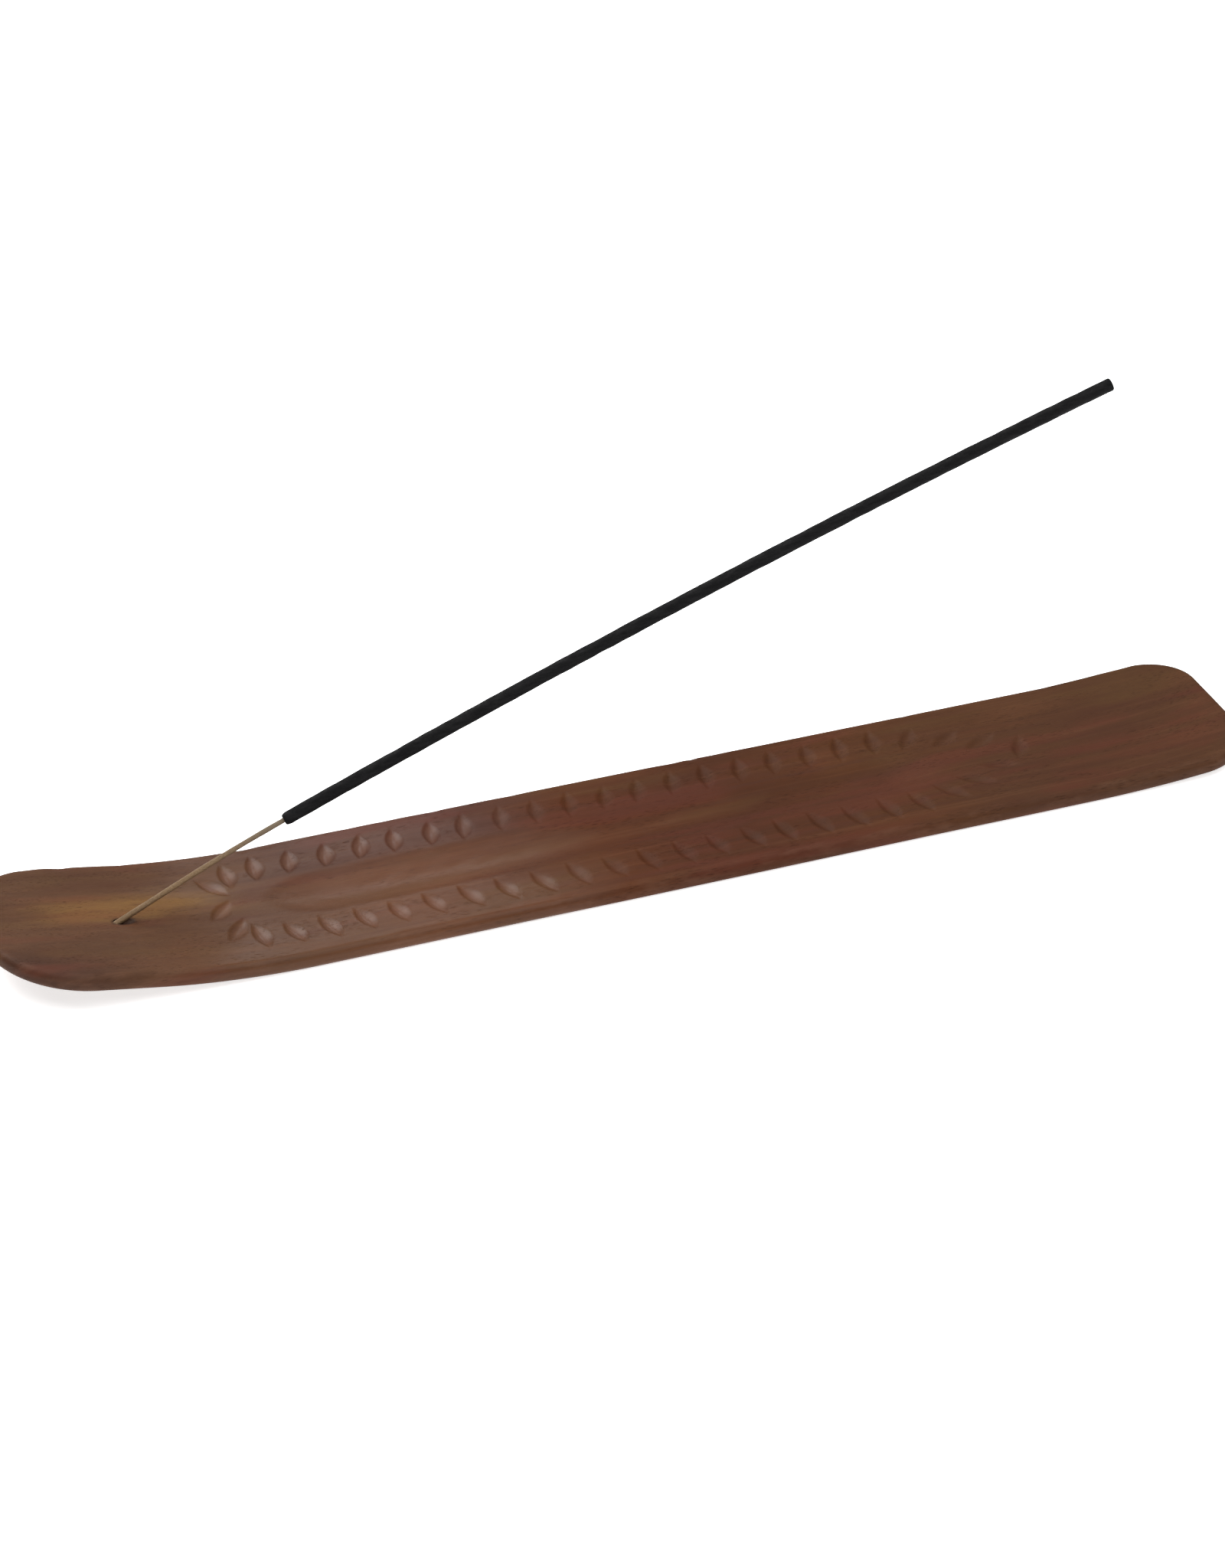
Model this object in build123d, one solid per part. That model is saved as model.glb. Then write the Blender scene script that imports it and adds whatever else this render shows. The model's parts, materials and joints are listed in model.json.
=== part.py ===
from build123d import *
import math
import os

# Incense burner: a carved wooden plank, or boat, that catches the ash, with one incense stick
# leaning out of an angled hole in its upturned end. All sizes are in millimetres and degrees.
# +X runs from the stick's hole to the far end, +Z is up and the plank's flat underside is z = 0.
# The origin is the middle of the plank's footprint.

# plank
LENGTH = 253.3            # end to end
HOLE_END_WIDTH = 41.0     # the plank narrows a little from the stick's end to the other
FAR_END_WIDTH = 39.6
THICKNESS = 3.5
HOLE_END_CORNER = 16.8    # corner radius in plan at the stick's end
FAR_END_CORNER = 11.2     # corner radius in plan at the other end
EDGE_ROUND = 1.5          # rounding of the top and bottom edges

# the flat middle of the plank, and how each end turns up from it
FLAT_FROM = -66.5
FLAT_TO = 91.0
HOLE_END_BEND = 184.0     # radius of the underside
HOLE_END_TURN = 9.74      # then straight to the end
FAR_END_BEND = 295.0      # radius of the underside, all the way to the end
OVERRUN = 12.0            # how far the side outline runs past each end before it is trimmed

# ash trough: a round-bottomed groove along the middle with scooped ends
TROUGH_FROM = -69.0
TROUGH_TO = 64.4
TROUGH_WIDTH = 11.4
TROUGH_DEPTH = 1.3

# carved leaves: each is a canoe-shaped scoop, left by a round gouge swung through the wood
LEAF_LENGTH = 8.2
LEAF_WIDTH = 3.4
LEAF_DEPTH = 0.6
LEAF_PITCH = 7.1
LEAF_ROW = 12.0           # from the middle line to the middle of a leaf
ROW_MIDDLE = 1.2          # place along the plank of each row's middle leaf
LEAF_LEAN = 13.0          # the outer tip leans to +X
LEAVES_EACH_WAY = 8       # in the even row, on each side of its middle leaf
# leaves that close the rows at their ends: place along, out from the middle line, lean
END_LEAVES = [
    (-79.3, 7.9, -33.0),
    (-75.4, 11.0, 3.0),
    (-69.4, 11.8, 11.0),
    (-62.5, 12.1, 13.0),
    (64.9, 10.6, 38.0),
    (71.4, 8.0, 52.0),
    (77.4, 4.4, 64.0),
]
# the slanting leaf on the middle line beyond each end of the trough, in the same way
TIP_LEAVES = [
    (-79.9, -0.9, 45.0),
    (83.7, 0.0, 22.0),
]

# incense stick: a bamboo splint, straight in its hole and drooping gently above it
SPLINT_RADIUS = 0.62
PASTE_RADIUS = 1.33
PASTE_ROUND = 0.4         # rounding of the coating's lower end
STICK_SIDE = -0.9         # the hole is drilled this far from the middle line
STICK_MOUTH = -99.7      # where the stick's middle line leaves the wood
STICK_RISE = 25.4         # above level, in the hole
STRAIGHT_ABOVE = 13.4     # straight stretch above the wood
BARE_ARC = 22.0           # bare stretch that starts to droop
BARE_DROOP = 3.6          # degrees of rise lost along it
COATED_ARC = 177.0
COATED_DROOP = 4.4        # degrees of rise lost along it
SPLINT_SHORT = 2.5        # the splint stops this far inside the coating's tip

# blind hole for the stick, drilled along its lower end; the stick lies against its upper far side
HOLE_RADIUS = 1.15
HOLE_BELOW = 0.35         # from the stick's middle line down to the hole's
HOLE_ASIDE = 0.2          # from the stick's middle line to the hole's, towards -Y
HOLE_DEPTH = 3.0          # along the stick, below the mouth
HOLE_ABOVE = 6.0          # the cutter's length above the mouth
STOP_GAP = 0.1            # between the splint's end and the hole's bottom


def bend_point(start_x, radius, turn, height):
    """Point at a height above the underside, after a turn of a bend that starts level at start_x."""
    reach = radius - height
    angle = math.radians(turn)
    return start_x + reach * math.sin(angle), radius - reach * math.cos(angle)


def top_surface(x):
    """Height of the plank's top face at x, and how far it turns up there towards the hole's end."""
    if x >= FLAT_FROM:
        return THICKNESS, 0.0
    end_x, end_z = bend_point(FLAT_FROM, HOLE_END_BEND, -HOLE_END_TURN, THICKNESS)
    if x < end_x:
        return end_z + (end_x - x) * math.tan(math.radians(HOLE_END_TURN)), HOLE_END_TURN
    turn = math.degrees(math.asin((FLAT_FROM - x) / (HOLE_END_BEND - THICKNESS)))
    return bend_point(FLAT_FROM, HOLE_END_BEND, -turn, THICKNESS)[1], turn


def side_line(height):
    """Edges of the plank's side outline at a height above the underside, with their two ends."""
    bend_end = bend_point(FLAT_FROM, HOLE_END_BEND, -HOLE_END_TURN, height)
    bend_middle = bend_point(FLAT_FROM, HOLE_END_BEND, -HOLE_END_TURN / 2, height)
    straight = bend_end[0] + LENGTH / 2 + OVERRUN
    near_tip = (
        bend_end[0] - straight,
        bend_end[1] + straight * math.tan(math.radians(HOLE_END_TURN)),
    )
    far_turn = math.degrees((LENGTH / 2 + OVERRUN - FLAT_TO) / FAR_END_BEND)
    far_middle = bend_point(FLAT_TO, FAR_END_BEND, far_turn / 2, height)
    far_tip = bend_point(FLAT_TO, FAR_END_BEND, far_turn, height)
    edges = [
        Line(near_tip, bend_end),
        ThreePointArc(bend_end, bend_middle, (FLAT_FROM, height)),
        Line((FLAT_FROM, height), (FLAT_TO, height)),
        ThreePointArc((FLAT_TO, height), far_middle, far_tip),
    ]
    return edges, near_tip, far_tip


def plank():
    """The bent plank with rounded edges, before any carving."""
    bottom, bottom_near, bottom_far = side_line(0)
    top, top_near, top_far = side_line(THICKNESS)
    outline = Curve() + bottom + top + [Line(bottom_near, top_near), Line(bottom_far, top_far)]
    bent = extrude(make_face(Plane.XZ * outline), HOLE_END_WIDTH, both=True)

    hole_end = [(-LENGTH / 2, side * HOLE_END_WIDTH / 2) for side in (1, -1)]
    far_end = [(LENGTH / 2, side * FAR_END_WIDTH / 2) for side in (-1, 1)]
    plan = make_face(Polyline(*hole_end, *far_end, close=True))
    plan = fillet(plan.vertices().filter_by(lambda v: v.X < 0), HOLE_END_CORNER)
    plan = fillet(plan.vertices().filter_by(lambda v: v.X > LENGTH / 2 - 1), FAR_END_CORNER)
    body = (bent & extrude(plan, LENGTH / 4, both=True)).solid()

    def on_rim(edge):
        middle = edge @ 0.5
        upright = abs((edge @ 1).Z - (edge @ 0).Z) > 0.9 * edge.length
        crosses = abs(middle.Y) < 1 and abs(middle.X) < LENGTH / 2 - 1
        return not upright and not crosses

    return fillet(body.edges().filter_by(on_rim), EDGE_ROUND)


def scoop_radius(width, depth):
    """Radius of the circle that cuts a groove of this width and depth."""
    return (width ** 2 / 4 + depth ** 2) / (2 * depth)


def trough():
    """Cutter for the ash trough: a round bar with ball ends."""
    radius = scoop_radius(TROUGH_WIDTH, TROUGH_DEPTH)
    height = THICKNESS - TROUGH_DEPTH + radius
    ball_from = TROUGH_FROM + TROUGH_WIDTH / 2
    ball_to = TROUGH_TO - TROUGH_WIDTH / 2
    bar = Rot(0, 90, 0) * Cylinder(radius, ball_to - ball_from)
    cutter = Pos((ball_from + ball_to) / 2, 0, height) * bar
    for ball_x in (ball_from, ball_to):
        cutter += Pos(ball_x, 0, height) * Sphere(radius)
    return cutter


def leaf(x, out, lean, side):
    """Cutter for one leaf. A lean of 0 points straight out from the middle line, 90 along +X."""
    height, turn = top_surface(x)
    gouge = scoop_radius(LEAF_WIDTH, LEAF_DEPTH)
    swing = scoop_radius(LEAF_LENGTH, LEAF_DEPTH)
    on_top = Pos(x, out * side, height) * Rot(0, turn, 0)
    along_leaf = Rot(0, 0, side * (90 - lean)) * Rot(90, 0, 0)
    return on_top * Pos(0, 0, swing - LEAF_DEPTH) * along_leaf * Torus(swing - gouge, gouge)


def leaves():
    """Cutters for every leaf: two mirrored rows, closed by a tip leaf at each end."""
    steps = range(-LEAVES_EACH_WAY, LEAVES_EACH_WAY + 1)
    row = [(ROW_MIDDLE + step * LEAF_PITCH, LEAF_ROW, LEAF_LEAN) for step in steps] + END_LEAVES
    cutters = [leaf(x, out, lean, side) for side in (-1, 1) for x, out, lean in row]
    return cutters + [leaf(x, out, lean, 1) for x, out, lean in TIP_LEAVES]


def stick_hole():
    """Cutter for the stick's hole, parallel to the straight end of the splint."""
    mouth_z, _ = top_surface(STICK_MOUTH)
    drill = Cylinder(HOLE_RADIUS, HOLE_ABOVE + HOLE_DEPTH)
    drill = Pos(HOLE_BELOW, -HOLE_ASIDE, (HOLE_ABOVE - HOLE_DEPTH) / 2) * drill
    return Pos(STICK_MOUTH, STICK_SIDE, mouth_z) * Rot(0, 90 - STICK_RISE, 0) * drill


def along(start, rise, distance):
    """Point at a distance from start in a direction that rises from level."""
    angle = math.radians(rise)
    return start[0] + distance * math.cos(angle), start[1] + distance * math.sin(angle)


def droop_point(start, rise, radius, turn):
    """Point after a turn of an arc that starts at a rise and bends downwards."""
    before = math.radians(rise)
    after = math.radians(rise - turn)
    return (
        start[0] + radius * (math.sin(before) - math.sin(after)),
        start[1] + radius * (math.cos(after) - math.cos(before)),
    )


def droop_arc(start, rise, length, lost, share=1.0):
    """Arc that loses degrees of rise over its length, or only its first share."""
    radius = length / math.radians(lost)
    middle = droop_point(start, rise, radius, lost * share / 2)
    end = droop_point(start, rise, radius, lost * share)
    return ThreePointArc(start, middle, end), end


def rod(edges, radius):
    """A round rod along edges drawn from the side, in the stick's own upright plane."""
    upright = Plane(origin=(0, STICK_SIDE, 0), x_dir=(1, 0, 0), z_dir=(0, -1, 0))
    path = Wire((upright * (Curve() + edges)).edges())
    return sweep(Plane(origin=path @ 0, z_dir=path % 0) * Circle(radius), path=path)


def stick():
    """The bamboo splint and the incense paste rolled onto it."""
    mouth = (STICK_MOUTH, top_surface(STICK_MOUTH)[0])
    foot = along(mouth, STICK_RISE, STOP_GAP - HOLE_DEPTH)
    bend = along(mouth, STICK_RISE, STRAIGHT_ABOVE)
    bare, coat_start = droop_arc(bend, STICK_RISE, BARE_ARC, BARE_DROOP)
    coat_rise = STICK_RISE - BARE_DROOP
    coated, _ = droop_arc(coat_start, coat_rise, COATED_ARC, COATED_DROOP)
    inside_share = 1 - SPLINT_SHORT / COATED_ARC
    inside, _ = droop_arc(coat_start, coat_rise, COATED_ARC, COATED_DROOP, inside_share)

    splint = rod([Line(foot, bend), bare, inside], SPLINT_RADIUS)
    paste = rod([coated], PASTE_RADIUS)
    lower_rim = paste.edges().filter_by(GeomType.CIRCLE).sort_by(Axis.X)[0]
    return splint, fillet(lower_rim, PASTE_ROUND) - splint


bamboo_splint, incense_paste = stick()
parts = {
    "ash_tray": plank() - trough() - leaves() - stick_hole(),
    "bamboo_splint": bamboo_splint,
    "incense_paste": incense_paste,
}

os.makedirs("parts", exist_ok=True)
for name, shape in parts.items():
    export_step(shape.solid(), f"parts/{name}.step")
    print(name, round(shape.volume, 1), "mm3", shape.bounding_box().min, shape.bounding_box().max)
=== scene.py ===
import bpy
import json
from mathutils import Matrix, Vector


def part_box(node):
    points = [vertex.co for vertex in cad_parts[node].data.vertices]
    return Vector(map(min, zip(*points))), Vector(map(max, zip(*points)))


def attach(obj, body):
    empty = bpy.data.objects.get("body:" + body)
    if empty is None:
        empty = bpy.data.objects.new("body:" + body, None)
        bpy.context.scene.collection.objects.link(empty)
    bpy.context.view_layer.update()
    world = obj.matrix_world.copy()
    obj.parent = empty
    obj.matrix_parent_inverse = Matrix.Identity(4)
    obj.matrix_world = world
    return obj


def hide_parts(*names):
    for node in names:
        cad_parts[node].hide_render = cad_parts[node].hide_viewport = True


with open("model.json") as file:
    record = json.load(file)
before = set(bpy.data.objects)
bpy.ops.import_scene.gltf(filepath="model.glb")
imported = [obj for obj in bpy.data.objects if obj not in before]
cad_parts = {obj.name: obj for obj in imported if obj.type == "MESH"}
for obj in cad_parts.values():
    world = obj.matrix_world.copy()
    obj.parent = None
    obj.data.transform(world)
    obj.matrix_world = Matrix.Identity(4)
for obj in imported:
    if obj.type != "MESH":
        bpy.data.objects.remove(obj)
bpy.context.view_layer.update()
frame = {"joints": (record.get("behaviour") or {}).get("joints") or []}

import json
import math

import bmesh
import bpy
import numpy as np
from mathutils import Vector

# Incense burner: a carved wooden boat with one incense stick. Shapes are worked out in
# millimetres, like the CAD, and turned into metres when a mesh is made.
MM = 0.001

# ---------------------------------------------------------------- sizes of the tray
HALF_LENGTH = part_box("ash_tray")[1].x / MM
HALF_WIDTH = 20.5         # at the hole's end; the plank narrows from there to the far end
FAR_END_HALF_WIDTH = 19.8
THICKNESS = 3.5
HOLE_END_CORNER = 16.8    # corner radii of the outline
FAR_END_CORNER = 11.2
EDGE_ROUND = 1.5
FLAT_FROM = -66.5         # the underside stands flat from here
FLAT_TO = 91.0            # to here
HOLE_END_BEND = 184.0     # bend radius of the underside at each end
HOLE_END_TURN = math.radians(9.74)    # the hole's end goes on straight after this much bend
FAR_END_BEND = 295.0

# ash trough
TROUGH_FROM = -69.0
TROUGH_TO = 64.4
TROUGH_WIDTH = 11.4
TROUGH_DEPTH = 1.3
TROUGH_END_SLOPE = 0.55   # the ends run out more gently than the sides, by this share
TROUGH_WANDER = 0.22      # how far its middle line wanders sideways
TROUGH_CHATTER = 0.035    # depth of the tool marks in it

# carved leaves: each place is x, the distance from the middle line, and the lean in degrees
LEAF_LENGTH = 8.2
LEAF_WIDTH = 3.0          # narrower than the CAD's 3.4
LEAF_DEPTH = 0.6
LEAF_PITCH = 7.1
LEAF_ROW = 12.0           # distance of the two rows from the middle line
ROW_MIDDLE = 1.2          # x of the leaf in the middle of each row
LEAF_LEAN = 13.0
LEAF_SKEW = 0.3           # the deepest line lies this far towards the hole's end
LEAVES_EACH_WAY = 8
END_LEAVES = [            # on both sides, closing the rows in towards the tips
    (-79.3, 7.9, -33.0),
    (-75.4, 11.0, 3.0),
    (-69.4, 11.8, 11.0),
    (-62.5, 12.1, 13.0),
    (64.9, 10.6, 38.0),
    (71.4, 8.0, 52.0),
    (77.4, 4.4, 64.0),
]
TIP_LEAVES = [            # one at each tip
    (-79.9, -0.9, 45.0),
    (83.7, 0.0, 22.0),
]

# ---------------------------------------------------------------- sizes of the stick
lift = frame["joints"][0]
STICK_RISE = math.atan2(lift["axis"][2], lift["axis"][0])
STICK_SIDE = -0.9         # y of the stick's line
STICK_MOUTH = -99.7       # x where its line meets the top
HOLE_RADIUS = 1.15
HOLE_BELOW = 0.35         # the splint lies in the loose hole this far above its middle
HOLE_ASIDE = 0.2          # and this far to one side
HOLE_DEPTH = 3.0
STOP_GAP = 0.1            # between the splint's foot and the hole's bottom
STRAIGHT_ABOVE = 13.4     # the splint is straight this far above the mouth
BARE_ARC = 22.0           # then bare and drooping a little
BARE_DROOP = math.radians(3.6)
COATED_ARC = 177.0        # then coated to the tip
COATED_DROOP = math.radians(4.4)
SPLINT_SHORT = 2.5        # the splint ends this far inside the coating's tip
SPLINT_RADIUS = 0.62
PASTE_RADIUS = 1.33

# fineness of the tray's mesh
FINE_FROM = -88.0         # the carved stretch has the finest columns
FINE_TO = 88.0
FINE_STEP = 0.33
COARSE_STEP = 1.1         # between columns beyond it
ROW_STEP = 0.40
EDGE_RINGS = 8            # rings that round the tray's edge
TROUGH_SOFTNESS = 1.2     # how far a carved rim is worn round
LEAF_SOFTNESS = 0.45
UNDERSIDE_SKIP = 10       # the underside keeps every tenth row of the top

# stage, in millimetres, and camera, in metres
FLOOR_LEVEL = -0.03       # just under the tray, so that the two faces don't meet
FLOOR_REACH = 6000.0
CAMERA_AZIMUTH = math.radians(-21.54)
CAMERA_ELEVATION = math.radians(31.92)
CAMERA_DISTANCE = 1.0345
CAMERA_CENTRE = Vector((-0.0004, -0.0011, 0.0))    # the distance is measured from here
CAMERA_TARGET = Vector((0.0005, 0.0056, 0.0102))
CAMERA_LENS = 124.3       # millimetres, with a sensor 36 wide
CAMERA_SENSOR = 36.0


# ---------------------------------------------------------------- smooth variation
def waves(x, y, span_x, span_y, seed, count=14):
    """Smooth seeded variation, mostly from -1.5 to 1.5, with no features below these spans."""
    rng = np.random.default_rng(seed)
    total = np.zeros(np.broadcast(x, y).shape)
    for _ in range(count):
        fx, fy = rng.uniform(-1, 1) / span_x, rng.uniform(-1, 1) / span_y
        total += np.cos(2 * math.pi * (x * fx + y * fy) + rng.uniform(0, 2 * math.pi))
    return total / math.sqrt(count)


def soft_positive(value, softness):
    """max(value, 0) with the corner at 0 rounded over plus and minus softness."""
    blend = np.clip(softness - np.abs(value), 0, None) / softness
    return np.maximum(value, 0) + blend ** 2 * softness / 4


# ---------------------------------------------------------------- the plank's surfaces
def bent_height(x, above):
    """Height of the surface that lies a distance above the underside, at x."""
    near_reach = HOLE_END_BEND - above
    near_end = FLAT_FROM - near_reach * math.sin(HOLE_END_TURN)
    far_reach = FAR_END_BEND - above
    height = np.full(np.shape(x), float(above))
    on_bend = np.clip(FLAT_FROM - x, 0, FLAT_FROM - near_end)
    height = height + near_reach - np.sqrt(near_reach ** 2 - on_bend ** 2)
    height = height + np.clip(near_end - x, 0, None) * math.tan(HOLE_END_TURN)
    on_far = np.clip(x - FLAT_TO, 0, None)
    return height + far_reach - np.sqrt(far_reach ** 2 - on_far ** 2)


def upturn(x):
    """How far the top leans towards the middle of the tray at x, as an angle."""
    near = np.clip((FLAT_FROM - x) / (HOLE_END_BEND - THICKNESS), 0, math.sin(HOLE_END_TURN))
    far = np.clip((x - FLAT_TO) / (FAR_END_BEND - THICKNESS), 0, 1)
    return np.arcsin(near) - np.arcsin(far)


def inset(x, y):
    """Distance inside the plank's plan outline."""
    corner = np.where(x < 0, HOLE_END_CORNER, FAR_END_CORNER)
    qx = np.abs(x) - (HALF_LENGTH - corner)
    qy = np.abs(y) - (HALF_WIDTH - corner)
    outside = np.hypot(np.maximum(qx, 0), np.maximum(qy, 0))
    return corner - outside - np.minimum(np.maximum(qx, qy), 0)


def taper(x):
    """Share of the hole end's width that the plank still has at x."""
    lost = (HALF_WIDTH - FAR_END_HALF_WIDTH) / HALF_WIDTH
    return 1 - lost * (x + HALF_LENGTH) / (2 * HALF_LENGTH)


def edge_drop(x, y):
    """How far the rounded edge has dropped from the face."""
    left = EDGE_ROUND - np.clip(inset(x, y), 0, EDGE_ROUND)
    return EDGE_ROUND - np.sqrt(EDGE_ROUND ** 2 - left ** 2)


def scoop_radius(width, depth):
    """Radius of a round groove of this width and depth."""
    return (width ** 2 / 4 + depth ** 2) / (2 * depth)


def arc_depth(distance, radius, depth):
    """Depth of a round groove at a distance from its middle, negative and sloping outside it."""
    straight_from = 0.97 * radius
    inside = np.minimum(np.abs(distance), straight_from)
    slope = inside / np.sqrt(radius ** 2 - inside ** 2)
    return depth - radius + np.sqrt(radius ** 2 - inside ** 2) - (np.abs(distance) - inside) * slope


def trough_depth(x, y):
    """Depth of the ash trough, with its worn rim and tool marks."""
    radius = scoop_radius(TROUGH_WIDTH, TROUGH_DEPTH)
    run_out = TROUGH_WIDTH / 2 / TROUGH_END_SLOPE
    past = (x - np.clip(x, TROUGH_FROM + run_out, TROUGH_TO - run_out)) * TROUGH_END_SLOPE
    wander = TROUGH_WANDER * waves(x, 0 * y, 60, 1, 11)
    chatter = TROUGH_CHATTER * waves(x, y, 7, 4, 12)
    depth = arc_depth(np.hypot(past, y - wander), radius, TROUGH_DEPTH) + chatter
    return soft_positive(depth, TROUGH_SOFTNESS)


def leaf_places():
    """Every carved leaf as x, y and the direction of its length, with a hand's unevenness."""
    rng = np.random.default_rng(5)
    steps = range(-LEAVES_EACH_WAY, LEAVES_EACH_WAY + 1)
    row = [(ROW_MIDDLE + step * LEAF_PITCH, LEAF_ROW, LEAF_LEAN) for step in steps] + END_LEAVES
    places = []
    for side in (-1, 1):
        places += [(x, side * out, math.radians(side * (90 - lean))) for x, out, lean in row]
    places += [(x, out, math.radians(90 - lean)) for x, out, lean in TIP_LEAVES]
    uneven = []
    for x, y, angle in places:
        x += rng.uniform(-0.3, 0.3)
        y += rng.uniform(-0.25, 0.25)
        angle += math.radians(rng.uniform(-5, 5))
        size = rng.uniform(0.90, 1.02)
        uneven.append((x, y, angle, size))
    return uneven


def leaf_depth(x, y):
    """Depth of all carved leaves over the grid: pointed cuts, steeper towards the hole's end."""
    deepest = np.zeros(x.shape)
    reach = 0.7 * LEAF_LENGTH
    blunt = 0.2               # keeps the points of a leaf from narrowing to nothing
    for leaf_x, leaf_y, angle, size in leaf_places():
        near = (np.abs(x - leaf_x) < reach) & (np.abs(y - leaf_y) < reach)
        dx, dy = x[near] - leaf_x, y[near] - leaf_y
        along = dx * math.cos(angle) + dy * math.sin(angle)
        across = -dx * math.sin(angle) + dy * math.cos(angle)
        middle = math.copysign(LEAF_SKEW, angle)
        half_width = LEAF_WIDTH / 2 + np.where(across > middle, -middle, middle)
        share = 1 - (along / (LEAF_LENGTH * size / 2)) ** 2
        off = (across - middle) / half_width
        cut = LEAF_DEPTH * size * (share - off ** 2 / np.maximum(share, blunt))
        deepest[near] = np.maximum(deepest[near], soft_positive(cut, LEAF_SOFTNESS))
    return deepest


def wear_depth(x, y):
    """Shallow dents along the rim, left by handling."""
    rng = np.random.default_rng(21)
    dents = 46
    deepest = np.zeros(x.shape)
    for _ in range(dents):
        side = rng.choice([-1, 1])
        dent_x = rng.uniform(-112, 116)
        dent_y = side * (HALF_WIDTH - rng.uniform(0.2, 1.5))
        length, width = rng.uniform(0.8, 2.6), rng.uniform(0.5, 1.0)
        deep = rng.uniform(0.06, 0.20)
        spread = ((x - dent_x) / length) ** 2 + ((y - dent_y) / width) ** 2
        deepest = np.maximum(deepest, deep * np.exp(-spread))
    return deepest


def outline_wobble(x, y):
    """Share of the width that is left where hand sanding drew the sides in, by up to 0.2 mm."""
    drawn_in = 0.07 + 0.05 * waves(x, 0 * y, 70, 1, 51)
    return 1 - np.clip(drawn_in, 0.01, 0.2) / HALF_WIDTH


def top_points(x, y):
    """Points of the top face, with its carving and hand-finished unevenness."""
    across = y * taper(x)
    carved = np.maximum(trough_depth(x, across), leaf_depth(x, across))
    uneven = 0.04 * waves(x, y, 22, 14, 31) + 0.015 * waves(x, y, 6, 5, 32)
    lowered = carved + wear_depth(x, y) + (0.05 + uneven) * np.clip(inset(x, y) / 4, 0, 1)
    lean = upturn(x)
    z = bent_height(x, THICKNESS) - edge_drop(x, y) - lowered * np.cos(lean)
    return np.stack([x - lowered * np.sin(lean), across * outline_wobble(x, y), z], axis=-1)


def underside_points(x, y):
    """Points of the underside, a little uneven but nowhere below the CAD's."""
    uneven = np.clip(0.02 + 0.02 * waves(x, y, 30, 16, 41), 0, None)
    z = bent_height(x, 0.0) + edge_drop(x, y) + uneven
    return np.stack([x, y * taper(x) * outline_wobble(x, y), z], axis=-1)


# ---------------------------------------------------------------- the tray's grid
def end_reach(y, corner):
    """How far the plank reaches along x at y, at an end with this corner radius."""
    over = np.clip(np.abs(y) - (HALF_WIDTH - corner), 0, corner)
    return HALF_LENGTH - corner + np.sqrt(corner ** 2 - over ** 2)


def edge_insets():
    """Distances inside the outline of the rings that round the edge, outermost first."""
    turns = np.linspace(0, math.pi / 2, EDGE_RINGS + 1)
    return EDGE_ROUND * (1 - np.cos(turns))


def tray_grid():
    """x and y of every point of the tray's grid, whose end columns follow the outline."""
    rings = edge_insets()
    inner = np.linspace(-1, 1, int(2 * (HALF_WIDTH - EDGE_ROUND) / ROW_STEP) + 1)
    rows = np.concatenate([
        -(HALF_WIDTH - rings[:-1]),
        inner * (HALF_WIDTH - EDGE_ROUND),
        (HALF_WIDTH - rings[:-1])[::-1],
    ])
    middle = np.arange(FINE_FROM, FINE_TO + FINE_STEP / 2, FINE_STEP)

    def end_columns(reach, start):
        count = int((HALF_LENGTH - start) / COARSE_STEP)
        shares = np.linspace(0, 1, count + 1)[1:, None]
        plain = start + shares * (reach - EDGE_ROUND - start)
        ringed = reach - rings[::-1][1:, None]
        return np.vstack([plain, ringed])

    far = end_columns(end_reach(rows, FAR_END_CORNER)[None, :], FINE_TO)
    near = -end_columns(end_reach(rows, HOLE_END_CORNER)[None, :], -FINE_FROM)[::-1]
    centre = np.repeat(middle[:, None], len(rows), axis=1)
    x = np.vstack([near, centre, far])
    y = np.repeat(rows[None, :], len(x), axis=0)
    return x, y


def lay_underside(points, under):
    """Adds the underside's points and gives their numbers on the grid, and its faces.

    Every row is kept near the outline, and only some of the rows between."""
    columns, rows = under.shape[:2]
    border = EDGE_RINGS + 3
    kept_rows = sorted({
        *range(border),
        *range(border, rows, UNDERSIDE_SKIP),
        *range(rows - border, rows),
    })
    low = np.full((columns, rows), -1)

    def full_column(i):
        return i < border or i >= columns - border

    for i in range(columns):
        for j in range(rows) if full_column(i) else kept_rows:
            low[i, j] = len(points)
            points.append(under[i, j])
    faces = []
    for i in range(columns - 1):
        for first, last in zip(kept_rows[:-1], kept_rows[1:]):
            if full_column(i) and full_column(i + 1):
                faces += [
                    (low[i, j], low[i, j + 1], low[i + 1, j + 1], low[i + 1, j])
                    for j in range(first, last)
                ]
                continue
            left = range(first, last + 1) if full_column(i) else (first, last)
            right = range(first, last + 1) if full_column(i + 1) else (first, last)
            faces.append([low[i, j] for j in left] + [low[i + 1, j] for j in reversed(right)])
    return low, faces


def lay_wall(points, top, low):
    """Adds a ring half way down the upright wall and gives the wall's faces."""
    columns, rows = top.shape
    outline = [(i, 0) for i in range(columns)]
    outline += [(columns - 1, j) for j in range(1, rows)]
    outline += [(i, rows - 1) for i in range(columns - 2, -1, -1)]
    outline += [(0, j) for j in range(rows - 2, 0, -1)]
    ring = []
    for place in outline:
        ring.append(len(points))
        points.append((points[top[place]] + points[low[place]]) / 2)
    faces = []
    for k, place in enumerate(outline):
        following = (k + 1) % len(outline)
        after = outline[following]
        faces.append((ring[k], ring[following], top[after], top[place]))
        faces.append((low[place], low[after], ring[following], ring[k]))
    return faces


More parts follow.
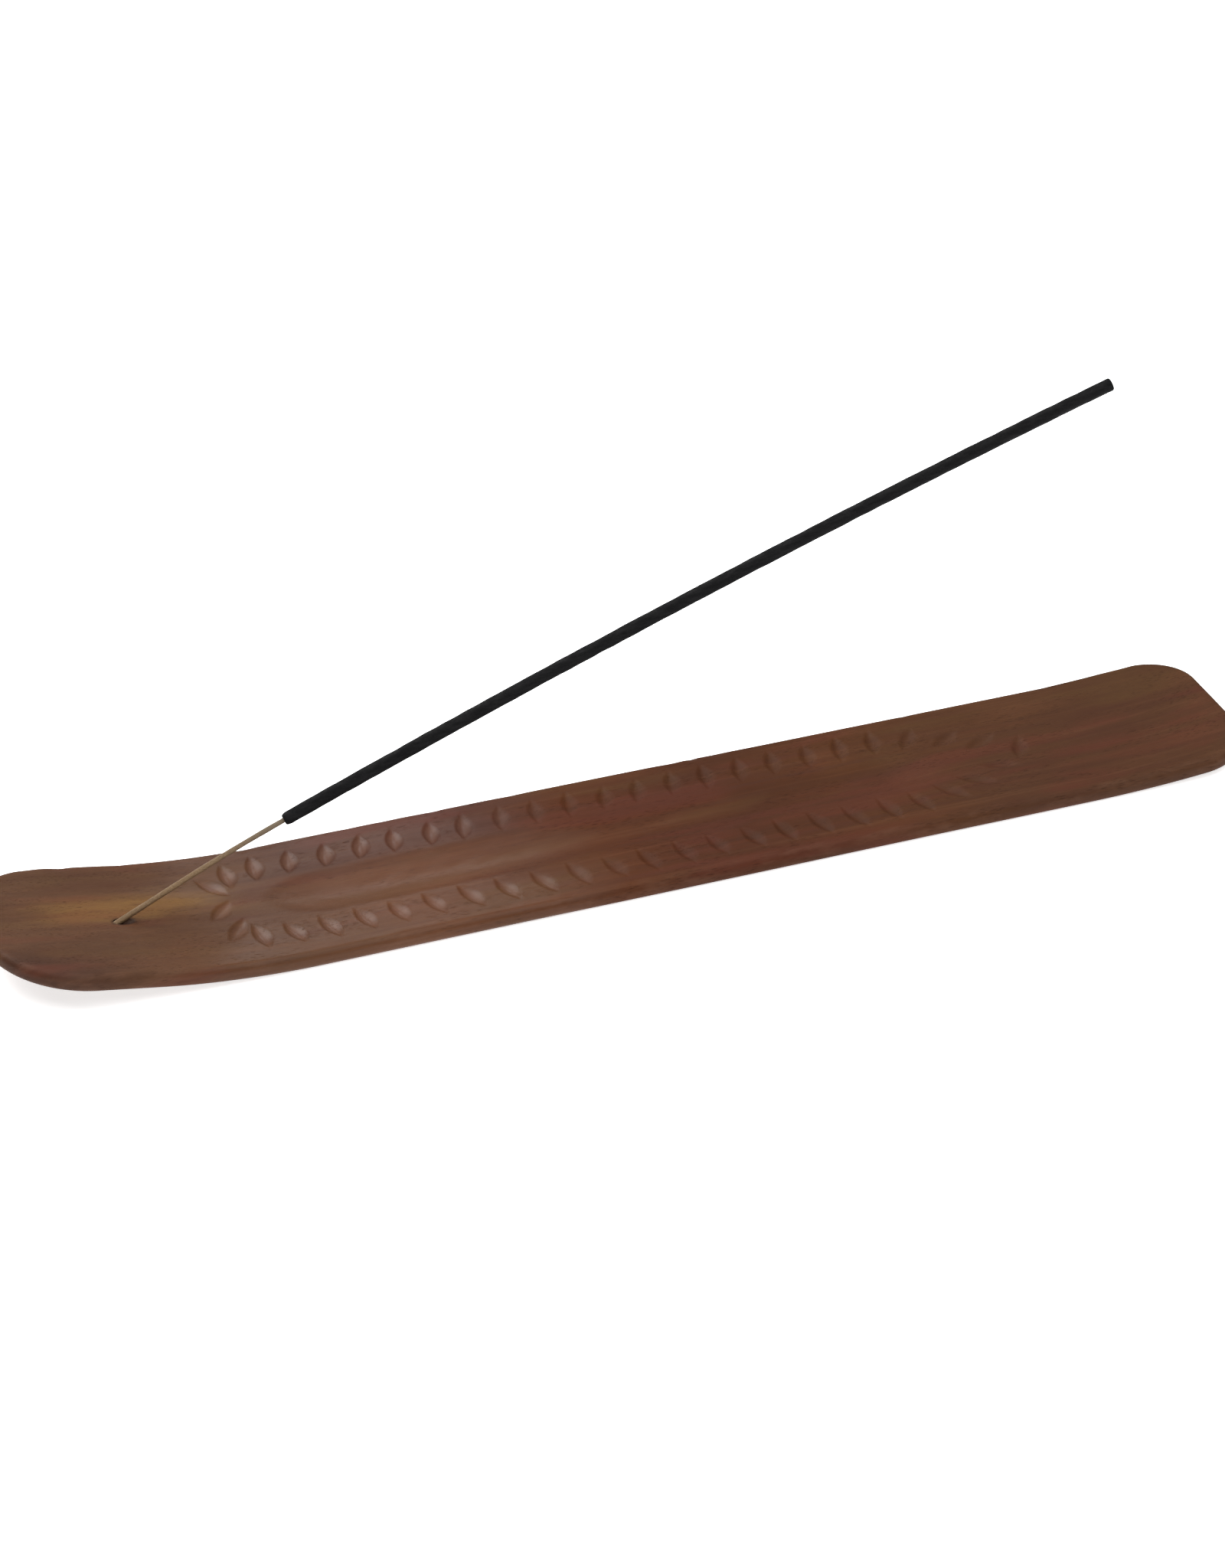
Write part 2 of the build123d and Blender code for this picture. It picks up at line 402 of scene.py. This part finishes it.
def tray_mesh():
    """Points and faces of the whole closed plank, before the stick's hole is drilled."""
    x, y = tray_grid()
    columns, rows = x.shape
    points = list(top_points(x, y).reshape(-1, 3))
    top = np.arange(columns * rows).reshape(columns, rows)
    faces = [
        (top[i, j], top[i + 1, j], top[i + 1, j + 1], top[i, j + 1])
        for i in range(columns - 1) for j in range(rows - 1)
    ]
    low, low_faces = lay_underside(points, underside_points(x, y))
    faces += low_faces
    faces += lay_wall(points, top, low)
    return np.array(points), faces


# ---------------------------------------------------------------- meshes and attributes
def new_object(name, points, faces):
    """A mesh object made from points in millimetres."""
    corners = [tuple(point) for point in np.asarray(points) * MM]
    loops = [tuple(int(corner) for corner in face) for face in faces]
    mesh = bpy.data.meshes.new(name)
    mesh.from_pydata(corners, [], loops)
    mesh.update()
    piece = bpy.data.objects.new(name, mesh)
    bpy.context.scene.collection.objects.link(piece)
    return piece


def smooth_shade(piece, angle):
    """Smooth shading, with edges sharper than angle, in degrees, left sharp."""
    piece.data.polygons.foreach_set("use_smooth", [True] * len(piece.data.polygons))
    piece.data.set_sharp_from_angle(angle=math.radians(angle))


def set_attribute(piece, name, values):
    """One number for each point, which the materials read by its name."""
    layer = piece.data.attributes.new(name, "FLOAT", "POINT")
    layer.data.foreach_set("value", np.asarray(values, dtype=np.float32))


def mesh_points(piece):
    """The piece's points, in millimetres."""
    flat = np.empty(len(piece.data.vertices) * 3)
    piece.data.vertices.foreach_get("co", flat)
    return flat.reshape(-1, 3) / MM


# ---------------------------------------------------------------- the stick's line
def stick_line():
    """The stick's middle line, the distance where its coating starts, and the mouth's height.

    The line is a function: the point and rise at a distance from the stick's foot."""
    mouth_z = float(bent_height(np.array(STICK_MOUTH), THICKNESS))
    foot_below = HOLE_DEPTH - STOP_GAP
    foot = np.array([
        STICK_MOUTH - foot_below * math.cos(STICK_RISE),
        mouth_z - foot_below * math.sin(STICK_RISE),
    ])
    straight = foot_below + STRAIGHT_ABOVE

    def step(start, rise, length, lost, run):
        """Point and rise after a run along an arc that loses this much rise in its length."""
        radius = length / lost
        after = rise - run / radius
        return start + radius * np.array([
            math.sin(rise) - math.sin(after),
            math.cos(after) - math.cos(rise),
        ]), after

    def at(distance):
        run = min(distance, straight)
        point = foot + run * np.array([math.cos(STICK_RISE), math.sin(STICK_RISE)])
        rise = STICK_RISE
        if distance > straight:
            run = min(distance - straight, BARE_ARC)
            point, rise = step(point, rise, BARE_ARC, BARE_DROOP, run)
        if distance > straight + BARE_ARC:
            run = distance - straight - BARE_ARC
            point, rise = step(point, rise, COATED_ARC, COATED_DROOP, run)
        return point, rise

    return at, straight + BARE_ARC, mouth_z


def tube(stations, around, radius_at, along_at):
    """Rings of points about the stick's line: radius_at(distance, angle) gives each radius."""
    angles = np.arange(around) * 2 * math.pi / around
    points = []
    for distance in stations:
        (x, z), rise = along_at(distance)
        for angle in angles:
            radius = radius_at(distance, angle)
            up = radius * math.sin(angle)
            points.append((
                x - up * math.sin(rise),
                STICK_SIDE + radius * math.cos(angle),
                z + up * math.cos(rise),
            ))
    faces = []
    for ring in range(len(stations) - 1):
        for k in range(around):
            a, b = ring * around + k, ring * around + (k + 1) % around
            faces.append((a, a + around, b + around, b))
    return points, faces


def close_ends(points, faces, around, stations, along_at, sink=(0.0, 0.0)):
    """Closes both ends of a tube with a fan, sunk in by a little at each end."""
    first, last = len(points), len(points) + 1
    for distance in (stations[0] + sink[0], stations[-1] - sink[1]):
        (x, z), _ = along_at(distance)
        points.append((x, STICK_SIDE, z))
    end = (len(stations) - 1) * around
    for k in range(around):
        after = (k + 1) % around
        faces.append((first, k, after))
        faces.append((last, end + after, end + k))
    return points, faces


# ---------------------------------------------------------------- pieces
def drill_hole(tray, mouth):
    """Drills the stick's blind hole along the stick, with its mouth at this point."""
    # the drill is centred on the mouth, so half of its length goes into the wood
    bm = bmesh.new()
    bmesh.ops.create_cone(
        bm, cap_ends=True, segments=40, radius1=HOLE_RADIUS * MM, radius2=HOLE_RADIUS * MM,
        depth=2 * HOLE_DEPTH * MM,
    )
    drill_mesh = bpy.data.meshes.new("drill")
    bm.to_mesh(drill_mesh)
    bm.free()
    drill = bpy.data.objects.new("drill", drill_mesh)
    bpy.context.scene.collection.objects.link(drill)
    drill.rotation_euler = (0, math.pi / 2 - STICK_RISE, 0)
    drill.location = mouth * MM
    bore = tray.modifiers.new("bore", "BOOLEAN")
    bore.operation = "DIFFERENCE"
    bore.solver = "EXACT"
    bore.object = drill
    bpy.context.view_layer.update()
    shaped = tray.evaluated_get(bpy.context.evaluated_depsgraph_get())
    bored = bpy.data.meshes.new_from_object(shaped)
    tray.modifiers.clear()
    tray.data = bored
    bpy.data.objects.remove(drill)


def mark_tray(tray, mouth):
    """Marks how deep each point lies in a cut, how near it is to the rim, and how near the hole."""
    at = mesh_points(tray)
    x, y, z = at.T
    # the carving stays above this height and the underside stays below it
    parting = (bent_height(x, THICKNESS) + bent_height(x, 0.0)) / 2 - 0.6
    on_top = z > parting
    set_attribute(tray, "trough", np.where(on_top, trough_depth(x, y) / TROUGH_DEPTH, 0))
    set_attribute(tray, "leaf", np.where(on_top, leaf_depth(x, y) / LEAF_DEPTH, 0))
    set_attribute(tray, "inset", inset(x, y / taper(x)))
    to_mouth = at - np.array(mouth)
    axis = np.array([math.cos(STICK_RISE), 0, math.sin(STICK_RISE)])
    up = to_mouth @ axis
    from_axis = np.linalg.norm(to_mouth - up[:, None] * axis, axis=1)
    in_reach = (up > -1.05 * HOLE_DEPTH) & (up < HOLE_DEPTH)
    # the material paints the hole's inside and mouth dark with this mark, as shade
    fade = 0.25
    set_attribute(tray, "hole", np.clip(1 - (from_axis - HOLE_RADIUS) / fade, 0, 1) * in_reach)


def make_tray(mouth_z):
    """The plank, with its trough, its leaves and the stick's hole."""
    points, faces = tray_mesh()
    tray = new_object("carved_tray", points, faces)
    mouth = Vector((
        STICK_MOUTH + HOLE_BELOW * math.sin(STICK_RISE),
        STICK_SIDE - HOLE_ASIDE,
        mouth_z - HOLE_BELOW * math.cos(STICK_RISE),
    ))
    drill_hole(tray, mouth)
    smooth_shade(tray, 50)
    mark_tray(tray, mouth)
    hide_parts("ash_tray")
    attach(tray, "tray")
    return tray


def make_splint(along_at, bare_end):
    """Split bamboo, scraped nearly round, with low ridges along it."""
    around = 22
    rng = np.random.default_rng(61)
    ridges = rng.uniform(-1, 1, around)
    end = bare_end + COATED_ARC - SPLINT_SHORT
    stations = list(np.arange(0, bare_end + 2, 0.5))          # close together where it is bare
    stations += list(np.arange(bare_end + 4, end, 4)) + [end]

    def radius_at(distance, angle):
        k = int(round(angle / (2 * math.pi) * around)) % around
        twist = 0.012 * math.sin(distance * 0.35 + 1.3)
        twist += 0.010 * math.sin(distance * 0.9 + angle * 2)
        squarish = 0.018 * math.cos(4 * angle)
        blunt = 0.12 * math.exp(-distance / 0.5)
        slim = 0.055 + 0.08 * min(distance / bare_end, 1)
        return SPLINT_RADIUS - slim + 0.016 * ridges[k] + squarish + twist - blunt

    points, faces = tube(stations, around, radius_at, along_at)
    points, faces = close_ends(points, faces, around, stations, along_at)
    splint = new_object("bamboo_splint_core", points, faces)
    smooth_shade(splint, 60)
    # share of the bare length gone by, from the foot to where the coating starts
    foot = along_at(0)[0][0]
    start = along_at(bare_end)[0][0]
    set_attribute(splint, "along", (mesh_points(splint)[:, 0] - foot) / (start - foot))
    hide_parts("bamboo_splint")
    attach(splint, "stick")
    return splint


def make_paste(along_at, bare_end):
    """Charcoal paste, rolled by hand: lumpy, feathered out where it starts and cut at the tip."""
    around = 40
    step = 0.4
    end = bare_end + COATED_ARC
    rng = np.random.default_rng(71)

    def any_turn():
        return rng.uniform(0, 2 * math.pi)

    lumps = [
        (rng.uniform(0.15, 1.6), rng.integers(0, 5), any_turn(), any_turn())
        for _ in range(26)
    ]
    grit_rows = 600
    grit = rng.uniform(-1, 1, (grit_rows, around))
    starts = [0.0, 0.05, 0.15, 0.3, 0.5, 0.75, 1.05]
    stations = [bare_end + start for start in starts]
    stations += list(np.arange(bare_end + 1.4, end - 0.3, step))
    stations += [end - 0.22, end - 0.1, end - 0.03, end]
    shy = 0.07                # the mean surface lies this far inside the CAD's
    feather = 1.1
    thinnest = 0.62           # share of the radius where the coating starts
    tip_round = 0.22
    tip_loss = 0.13

    def radius_at(distance, angle):
        k = int(round(angle / (2 * math.pi) * around)) % around
        lump = sum(
            math.cos(f * distance + n * angle + p) * math.cos(q + 0.3 * n)
            for f, n, p, q in lumps
        )
        row = int((distance - bare_end) / step) % grit_rows
        radius = PASTE_RADIUS - shy + 0.007 * lump + 0.010 * grit[row, k]
        ragged = 0.25 * math.sin(2 * angle + 0.6) + 0.12 * math.sin(5 * angle)
        from_start = max(distance - bare_end, 0) / (feather + ragged)
        if from_start < 1:
            radius *= thinnest + (1 - thinnest) * math.sqrt(1 - (1 - from_start) ** 2)
        from_tip = end - distance
        if from_tip < tip_round:
            radius -= tip_loss * (1 - from_tip / tip_round) ** 2
        return min(radius, PASTE_RADIUS - 0.005)

    points, faces = tube(stations, around, radius_at, along_at)
    points, faces = close_ends(points, faces, around, stations, along_at, (0.4, 0.05))
    paste = new_object("charcoal_coating", points, faces)
    smooth_shade(paste, 50)
    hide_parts("incense_paste")
    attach(paste, "stick")
    return paste


# ---------------------------------------------------------------- materials
class Nodes:
    """A material's node tree, with short ways to add and join nodes."""

    def __init__(self, name):
        self.material = bpy.data.materials.new(name)
        self.material.use_nodes = True
        self.tree = self.material.node_tree
        self.shader = self.tree.nodes["Principled BSDF"]

    def add(self, kind, inputs=None, **settings):
        node = self.tree.nodes.new(kind)
        for key, value in settings.items():
            setattr(node, key, value)
        for key, value in (inputs or {}).items():
            self.feed(node.inputs[key], value)
        return node

    def feed(self, socket, value):
        if isinstance(value, bpy.types.NodeSocket):
            self.tree.links.new(value, socket)
        else:
            socket.default_value = value

    def math(self, operation, a, b=0.0, clamp=False):
        node = self.add("ShaderNodeMath", operation=operation, use_clamp=clamp)
        self.feed(node.inputs[0], a)
        self.feed(node.inputs[1], b)
        return node.outputs[0]

    def spans(self, value, low, high, to_low=0.0, to_high=1.0):
        """value mapped from low..high to to_low..to_high, held at the ends and eased."""
        inputs = {
            "Value": value,
            "From Min": low,
            "From Max": high,
            "To Min": to_low,
            "To Max": to_high,
        }
        node = self.add("ShaderNodeMapRange", inputs, interpolation_type="SMOOTHSTEP")
        return node.outputs["Result"]

    def millimetres(self, stretch=(1, 1, 1)):
        """Object coordinates in millimetres, divided by the span along each axis."""
        where = self.add("ShaderNodeTexCoord").outputs["Object"]
        node = self.add("ShaderNodeVectorMath", operation="MULTIPLY")
        self.feed(node.inputs[0], where)
        self.feed(node.inputs[1], tuple(1000.0 / span for span in stretch))
        return node.outputs[0]

    def noise(self, spans, detail=2.0, roughness=0.5):
        """Noise from 0 to 1, with features of these spans in millimetres along x, y and z."""
        node = self.add("ShaderNodeTexNoise", {
            "Vector": self.millimetres(spans),
            "Scale": 1.0,
            "Detail": detail,
            "Roughness": roughness,
        })
        return node.outputs["Fac"]

    def attribute(self, name):
        return self.add("ShaderNodeAttribute", attribute_name=name).outputs["Fac"]

    def mix(self, share, a, b):
        """Colour a with this share of colour b: sockets 0, 6 and 7 hold the share and the two."""
        node = self.add("ShaderNodeMix", data_type="RGBA")
        self.feed(node.inputs[0], share)
        self.feed(node.inputs[6], a)
        self.feed(node.inputs[7], b)
        return node.outputs[2]

    def ramp(self, value, stops):
        node = self.add("ShaderNodeValToRGB", {"Fac": value})
        elements = node.color_ramp.elements
        while len(elements) < len(stops):
            elements.new(0.5)
        for element, (place, colour) in zip(elements, stops):
            element.position = place
            element.color = colour
        return node.outputs["Color"]

    def bump(self, height, distance, strength=1.0, under=None):
        node = self.add("ShaderNodeBump", {
            "Height": height,
            "Distance": distance,
            "Strength": strength,
        })
        if under is not None:
            self.feed(node.inputs["Normal"], under)
        return node.outputs["Normal"]

    def finish(self, **sockets):
        """Sets the shader's sockets, named with underlines for spaces."""
        for key, value in sockets.items():
            self.feed(self.shader.inputs[key.replace("_", " ")], value)
        return self.material


def srgb(red, green, blue):
    """Linear colour, as the shaders take it, from 0 to 255 screen values."""
    def linear(value):
        value /= 255
        return value / 12.92 if value <= 0.04045 else ((value + 0.055) / 1.055) ** 2.4
    return (linear(red), linear(green), linear(blue), 1.0)


def wood_ground(n, x, y, along):
    """The plank's own colours by place, in millimetres from the middle."""
    base = n.ramp(n.spans(along, -130, 130), [
        (0.04, srgb(76, 50, 32)),
        (0.13, srgb(83, 54, 35)),
        (0.24, srgb(91, 57, 37)),
        (0.38, srgb(80, 47, 29)),
        (0.47, srgb(74, 37, 14)),
        (0.66, srgb(64, 32, 12)),
        (0.77, srgb(72, 40, 17)),
        (0.92, srgb(70, 43, 25)),
    ])
    # ochre sapwood round the hole
    band = n.math("MULTIPLY", n.spans(y, -4, 2), n.spans(y, 10, 5))
    sapwood = n.math("MULTIPLY", n.spans(along, -70, -88), n.spans(along, -126, -102))
    sapwood = n.math("MULTIPLY", sapwood, band)
    base = n.mix(n.math("MULTIPLY", sapwood, 0.75), base, srgb(112, 80, 40))
    # a dark near corner at the hole's end, and painted shade on the far side of the carving's
    # hole-end half, which dims the sheen there
    corner = n.math("MULTIPLY", n.spans(x, -92, -118), n.spans(y, -5, -15))
    base = n.mix(n.math("MULTIPLY", corner, 0.8), base, srgb(54, 31, 21))
    far_side_shade = n.math("MULTIPLY", n.spans(y, 4, 10), n.spans(along, -84, -62))
    far_side_shade = n.math("MULTIPLY", far_side_shade, n.spans(along, -4, -24))
    return n.mix(n.math("MULTIPLY", far_side_shade, 0.55), base, srgb(60, 36, 33))


def add_rings(n, base, y):
    """Growth rings, cut nearly flat so that they run along the plank in long arches."""
    drift = n.math("MULTIPLY", n.math("SUBTRACT", n.noise((85, 16, 16), 3, 0.55), 0.5), 13.0)
    across = n.math("ADD", n.math("MULTIPLY", y, 0.62), drift)
    wave = n.math("SINE", n.math("MULTIPLY", across, 2.1))
    rings = n.spans(wave, 0.15, 1.0)
    strength = n.spans(n.noise((50, 7, 7), 2), 0.35, 0.7, 0.04, 0.28)
    return n.mix(n.math("MULTIPLY", rings, strength), base, srgb(60, 34, 22))


def add_figure(n, base):
    """Streaks along the grain, and broad patches of darker, lighter, redder and olive wood."""
    streak = n.noise((75, 1.5, 1.5), 4, 0.6)
    base = n.mix(n.spans(streak, 0.50, 0.74, 0.0, 0.34), base, srgb(62, 36, 24))
    base = n.mix(n.spans(streak, 0.48, 0.28, 0.0, 0.16), base, srgb(108, 72, 50))
    tone = n.noise((32, 9, 9), 3, 0.55)
    base = n.mix(n.spans(tone, 0.5, 0.72, 0.0, 0.4), base, srgb(62, 33, 22))
    base = n.mix(n.spans(tone, 0.5, 0.3, 0.0, 0.22), base, srgb(98, 62, 38))
    hue = n.noise((40, 7, 7), 2, 0.5)
    base = n.mix(n.spans(hue, 0.52, 0.7, 0.0, 0.30), base, srgb(92, 42, 32))
    return n.mix(n.spans(hue, 0.48, 0.3, 0.0, 0.30), base, srgb(78, 56, 28))


def wood_pores(n):
    """Open pores: short dashes along the grain, thicker in some places."""
    place = n.millimetres((2.6, 0.26, 0.26))
    cells = n.add("ShaderNodeTexVoronoi", {"Vector": place, "Scale": 1.0})
    dash = n.spans(cells.outputs["Distance"], 0.34, 0.16)
    thick = n.spans(n.noise((18, 3, 3), 2), 0.42, 0.62)
    return n.math("MULTIPLY", dash, thick)


def add_stain_and_sheen(n, base, leaf, trough, polish_and_sheen):
    """Stain lies a little thicker in the leaves, and in the polished stretch the leaves and the
    trough get a painted pale sheen.
    """
    base = n.mix(n.spans(leaf, 0.05, 0.9, 0.0, 0.12), base, srgb(50, 28, 19))
    # painted sheen: pale pink in the leaves of the polished stretch
    leaf_painted_sheen = n.math("MULTIPLY", n.spans(leaf, 0.05, 0.7, 0.0, 0.22), polish_and_sheen)
    base = n.mix(leaf_painted_sheen, base, srgb(128, 96, 82))
    # painted sheen: pale pink in the trough in the polished stretch
    trough_painted_sheen = n.math("MULTIPLY", n.spans(trough, 0.0, 0.6, 0.0, 0.10), polish_and_sheen)
    return n.mix(trough_painted_sheen, base, srgb(126, 92, 78))


def add_wear_and_shade(n, base, rim, hole):
    """The rim is worn paler in patches and a little darker on its rounded edge and upright wall,
    and the hole is painted dark as shade.
    """
    patches = n.spans(n.noise((9, 3, 3), 3, 0.6), 0.45, 0.7)
    worn = n.math("MULTIPLY", n.spans(rim, 2.4, 0.7), patches)
    base = n.mix(n.math("MULTIPLY", worn, 0.18), base, srgb(112, 80, 62))
    # a little darker over the rounded edge and the upright wall
    edge_darkening = n.math("MULTIPLY", n.spans(rim, 1.5, 0.0), 0.06)
    base = n.mix(edge_darkening, base, srgb(40, 24, 17))
    # painted shade inside the hole and round its mouth
    return n.mix(n.math("MULTIPLY", hole, 0.75), base, srgb(40, 22, 14))


def wood_roughness(n, leaf, polish_and_sheen, pores):
    """The polished stretch shines, the rest is matt, and the gouge left the leaves burnished."""
    matt = n.spans(polish_and_sheen, 0, 1, 0.64, 0.36)
    matt = n.math("ADD", matt, n.spans(n.noise((30, 8, 8), 3), 0.3, 0.7, -0.05, 0.05))
    rough = n.math("ADD", matt, n.math("MULTIPLY", pores, 0.25))
    return n.math("SUBTRACT", rough, n.spans(leaf, 0.05, 0.4, 0.0, 0.03), clamp=True)


def wood_material():
    n = Nodes("stained_hardwood")
    place = n.add("ShaderNodeSeparateXYZ", {"Vector": n.millimetres()})
    x, y = place.outputs["X"], place.outputs["Y"]
    leaf, trough, rim, hole = (n.attribute(name) for name in ("leaf", "trough", "inset", "hole"))

    # x shifted unevenly, so that what changes along the plank has no straight edges
    shift = n.math("MULTIPLY", n.math("SUBTRACT", n.noise((60, 12, 12), 2), 0.5), 40)
    along = n.math("ADD", x, shift)
    # the polished stretch: lower roughness there, and painted sheen in its cuts
    polish_and_sheen = n.math("MULTIPLY", n.spans(along, -98, -80), n.spans(along, -2, -38))
    fibre = n.noise((7, 0.22, 0.22), 3, 0.6)
    pores = wood_pores(n)

    base = wood_ground(n, x, y, along)
    base = add_rings(n, base, y)
    base = add_figure(n, base)
    base = n.mix(n.spans(fibre, 0.3, 0.7, 0.0, 0.24), base, srgb(58, 34, 23))
    base = n.mix(n.math("MULTIPLY", pores, 0.45), base, srgb(34, 19, 13))
    base = add_stain_and_sheen(n, base, leaf, trough, polish_and_sheen)
    base = add_wear_and_shade(n, base, rim, hole)

    rough = wood_roughness(n, leaf, polish_and_sheen, pores)
    height = n.math("SUBTRACT", n.math("MULTIPLY", fibre, 0.35), pores)
    normal = n.bump(height, 0.00005, 0.5)
    normal = n.bump(n.noise((6, 3, 3), 3, 0.6), 0.00025, 0.25, normal)
    return n.finish(
        Base_Color=base, Roughness=rough, Normal=normal, IOR=1.45, Specular_IOR_Level=0.14,
    )


def bamboo_material():
    n = Nodes("split_bamboo")
    fibre = n.noise((14, 0.10, 0.10), 3, 0.6)
    base = n.ramp(fibre, [
        (0.25, srgb(90, 68, 44)),
        (0.5, srgb(110, 86, 58)),
        (0.75, srgb(130, 106, 76)),
    ])
    patch = n.noise((9, 2, 2), 2)
    base = n.mix(n.spans(patch, 0.5, 0.75, 0.0, 0.5), base, srgb(84, 64, 42))
    specks = n.noise((0.9, 0.12, 0.12), 2, 0.7)
    base = n.mix(n.spans(specks, 0.62, 0.75, 0.0, 0.5), base, srgb(66, 48, 32))
    # charcoal dust greys it towards the coating
    greyed = n.spans(n.attribute("along"), 0.45, 1.0, 0.0, 0.6)
    base = n.mix(greyed, base, srgb(88, 82, 70))
    normal = n.bump(fibre, 0.00006, 0.7)
    rough = n.spans(fibre, 0.3, 0.7, 0.66, 0.54)
    return n.finish(
        Base_Color=base, Roughness=rough, Normal=normal, IOR=1.5, Specular_IOR_Level=0.35,
    )


def paste_material():
    n = Nodes("charcoal_paste")
    grit = n.noise((0.35, 0.35, 0.35), 4, 0.7)
    base = n.ramp(grit, [
        (0.3, srgb(5, 5, 6)),
        (0.6, srgb(11, 11, 12)),
        (0.8, srgb(23, 22, 22)),
    ])
    smears = n.noise((12, 0.7, 0.7), 3, 0.6)
    base = n.mix(n.spans(smears, 0.45, 0.7, 0.0, 0.4), base, srgb(17, 16, 17))
    fine = n.noise((0.12, 0.12, 0.12), 3, 0.7)
    normal = n.bump(grit, 0.00012, 0.8)
    normal = n.bump(fine, 0.00004, 0.7, normal)
    rough = n.spans(smears, 0.3, 0.7, 0.85, 0.62)
    return n.finish(
        Base_Color=base, Roughness=rough, Normal=normal, IOR=1.45, Specular_IOR_Level=0.15,
    )


def floor_material():
    n = Nodes("pale_floor")
    tone = n.noise((400, 400, 400), 2)
    base = n.ramp(tone, [(0.3, (0.93, 0.93, 0.93, 1)), (0.7, (0.95, 0.95, 0.95, 1))])
    # its own light keeps it nearly white under lights set for the dark wood
    return n.finish(
        Base_Color=base, Roughness=0.9, Emission_Color=(1, 1, 1, 1), Emission_Strength=0.7,
    )


# ---------------------------------------------------------------- stage, light and camera
def aim(thing, target):
    thing.rotation_euler = (Vector(target) - thing.location).to_track_quat("-Z", "Y").to_euler()


def soft_box(name, place, target, size, power):
    """A white rectangular light, with its power in watts, that the camera doesn't see."""
    data = bpy.data.lights.new(name, "AREA")
    data.shape = "RECTANGLE"
    data.size, data.size_y = size
    data.energy = power
    light = bpy.data.objects.new(name, data)
    bpy.context.scene.collection.objects.link(light)
    light.location = place
    aim(light, target)
    light.visible_camera = False


def make_stage():
    signs = [(-1, -1), (1, -1), (1, 1), (-1, 1)]
    corners = [(x * FLOOR_REACH, y * FLOOR_REACH, FLOOR_LEVEL) for x, y in signs]
    floor = new_object("floor", corners, [(0, 1, 2, 3)])
    floor.data.materials.append(floor_material())

    world = bpy.data.worlds.new("studio")
    world.use_nodes = True
    sky = world.node_tree.nodes["Background"]
    sky.inputs["Color"].default_value = (1, 1, 1, 1)
    sky.inputs["Strength"].default_value = 0.08
    bpy.context.scene.world = world

    soft_box("overhead", (-0.1, -0.1, 1.25), (0, 0, 0), (2.6, 1.7), 36.5)
    soft_box("front", (-0.4, -1.9, 0.75), (0, 0, 0), (2.4, 1.1), 6.5)
    # two small lights beyond the tray bring out its gloss and the leaves' steep walls
    soft_box("sheen", (0.085, 0.42, 0.29), (-0.05, 0, 0), (0.12, 0.16), 0.20)
    soft_box("leaf_light", (-0.18, 0.39, 0.42), (-0.05, 0, 0), (0.3, 0.3), 1.8)


def make_camera():
    """A long lens from the front left, above, aimed at the middle of the tray."""
    back = Vector((
        math.sin(CAMERA_AZIMUTH) * math.cos(CAMERA_ELEVATION),
        -math.cos(CAMERA_AZIMUTH) * math.cos(CAMERA_ELEVATION),
        math.sin(CAMERA_ELEVATION),
    ))
    data = bpy.data.cameras.new("camera")
    data.lens = CAMERA_LENS
    data.sensor_width = CAMERA_SENSOR
    data.clip_start = 0.05
    data.clip_end = 50
    camera = bpy.data.objects.new("camera", data)
    bpy.context.scene.collection.objects.link(camera)
    camera.location = back * CAMERA_DISTANCE + CAMERA_CENTRE
    aim(camera, CAMERA_TARGET)
    bpy.context.scene.camera = camera


def main():
    along_at, bare_end, mouth_z = stick_line()
    tray = make_tray(mouth_z)
    splint = make_splint(along_at, bare_end)
    paste = make_paste(along_at, bare_end)
    for piece, material in (
        (tray, wood_material()),
        (splint, bamboo_material()),
        (paste, paste_material()),
    ):
        piece.data.materials.clear()
        piece.data.materials.append(material)
    make_stage()
    make_camera()
    bpy.context.scene.view_settings.view_transform = "Standard"


main()
